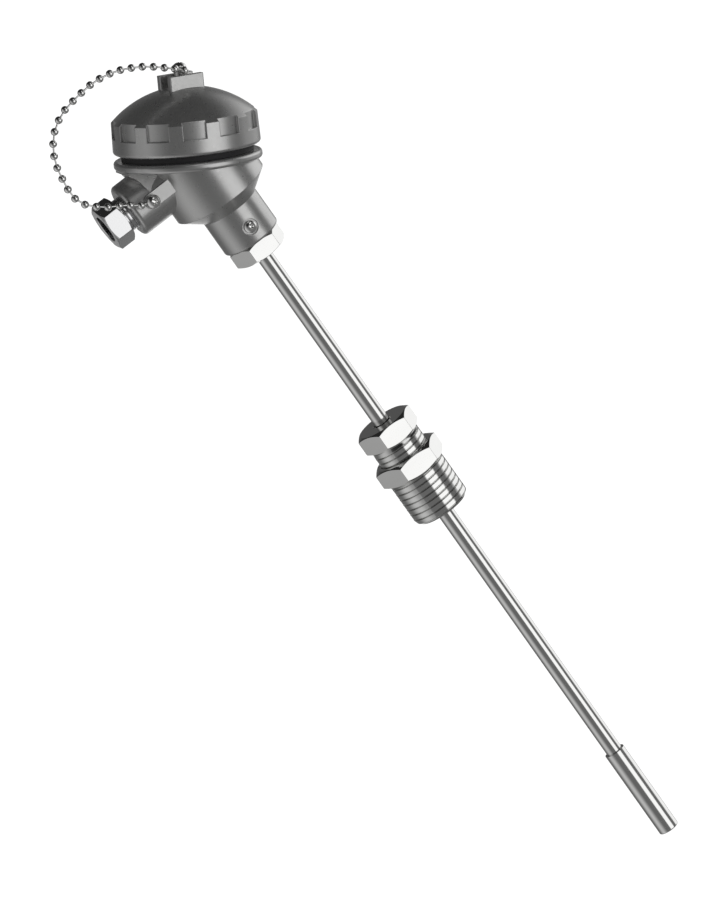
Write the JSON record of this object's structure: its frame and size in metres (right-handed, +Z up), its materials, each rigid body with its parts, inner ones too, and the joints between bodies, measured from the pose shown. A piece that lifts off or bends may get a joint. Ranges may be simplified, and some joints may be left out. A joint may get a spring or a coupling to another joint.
{
  "type": "rtd probe with head",
  "caption": "Resistance thermometer with a thin stem, an adjustable compression fitting, and a slanted connection head with a screw cap, bead chain and cable gland.",
  "frame": {"origin": "centre of the stem at the shoulder of the process thread, where the fitting's hexagon meets the thread", "axes": "+Z up along the stem to the connection head, -X towards the cable entry, -Y the side that the picture shows; the cap's axis leans 30 degrees from +Z towards +X"},
  "size_m": [0.073, 0.051, 0.3381],
  "materials": {
    "stainless": "polished stainless steel",
    "cast_head": "die-cast aluminium under grey enamel, satin",
    "plated_screws": "bright nickel plate",
    "plated_chain": "bright nickel plate",
    "gland_metal": "nickel-plated brass, polished",
    "black_rubber": "matt moulded rubber",
    "ceramic": "unglazed white ceramic",
    "terminal_brass": "turned brass",
    "mineral_fill": "packed white powder",
    "element_body": "white ceramic",
    "lead_wire": "bare nickel wire"
  },
  "bodies": {
    "fitting": {"fitting_body": "stainless"},
    "grip": {"ferrule": "stainless"},
    "probe": {"sheath": "stainless", "tip_sleeve": "stainless", "sensing_element": "element_body", "insulation_core": "mineral_fill", "lead_wire_1": "lead_wire", "lead_wire_2": "lead_wire", "lead_wire_3": "lead_wire", "lead_wire_4": "lead_wire", "neck_nut": "stainless", "housing": "cast_head", "neck_screw": "plated_screws", "terminal_block": "ceramic", "block_screw_1": "plated_screws", "block_screw_2": "plated_screws", "terminal_clamp_1": "terminal_brass", "terminal_clamp_2": "terminal_brass", "terminal_clamp_3": "terminal_brass", "terminal_clamp_4": "terminal_brass", "terminal_screw_1": "plated_screws", "terminal_screw_2": "plated_screws", "terminal_screw_3": "plated_screws", "terminal_screw_4": "plated_screws", "cap_gasket": "black_rubber", "gland_body": "gland_metal", "gland_grommet": "black_rubber", "boss_chain_eye": "plated_chain", "boss_chain_screw": "plated_screws", "bead_chain": "plated_chain"},
    "squeeze_ring": {"follower_ring": "stainless"},
    "bolt": {"compression_nut": "stainless"},
    "chain_end": {"cap_chain_eye": "plated_chain"},
    "lid": {"cap": "cast_head", "cap_chain_screw": "plated_screws"},
    "gland_ring": {"gland_washer": "gland_metal"},
    "gland_clamp": {"gland_nut": "gland_metal"}
  },
  "joints": [
    {"name": "head_swivel", "type": "hinge", "parent": "fitting", "child": "grip", "pos_m": [0, 0, 0], "axis": [0, 0, 1], "continuous": true},
    {"name": "immersion_slide", "type": "slide", "parent": "grip", "child": "probe", "axis": [0, 0, 1], "range_m": [-0.066, 0.104]},
    {"name": "nut_lift", "type": "slide", "parent": "fitting", "child": "squeeze_ring", "axis": [0, 0, 1], "range_m": [0, 0.004]},
    {"name": "nut_turn", "type": "hinge", "parent": "squeeze_ring", "child": "bolt", "pos_m": [0, 0, 0], "axis": [0, 0, 1], "range_deg": [0, 720]},
    {"name": "cap_lift", "type": "slide", "parent": "probe", "child": "chain_end", "axis": [0.5, 0, 0.866], "range_m": [0, 0.006], "deforming": ["bead_chain"]},
    {"name": "cap_turn", "type": "hinge", "parent": "chain_end", "child": "lid", "pos_m": [0, 0, 0.1396], "axis": [0.5, 0, 0.866], "range_deg": [0, 1440]},
    {"name": "gland_lift", "type": "slide", "parent": "probe", "child": "gland_ring", "axis": [-1, 0, 0], "range_m": [0, 0.002]},
    {"name": "gland_turn", "type": "hinge", "parent": "gland_ring", "child": "gland_clamp", "pos_m": [0, 0, 0.1339], "axis": [-1, 0, 0], "range_deg": [0, 720]}
  ],
  "couplings": [
    {"joint": "nut_turn", "follows": "nut_lift", "rad_per_m": 3141.5},
    {"joint": "cap_lift", "follows": "cap_turn", "m_per_rad": 0.0002387},
    {"joint": "gland_lift", "follows": "gland_turn", "m_per_rad": 0.00015915}
  ]
}
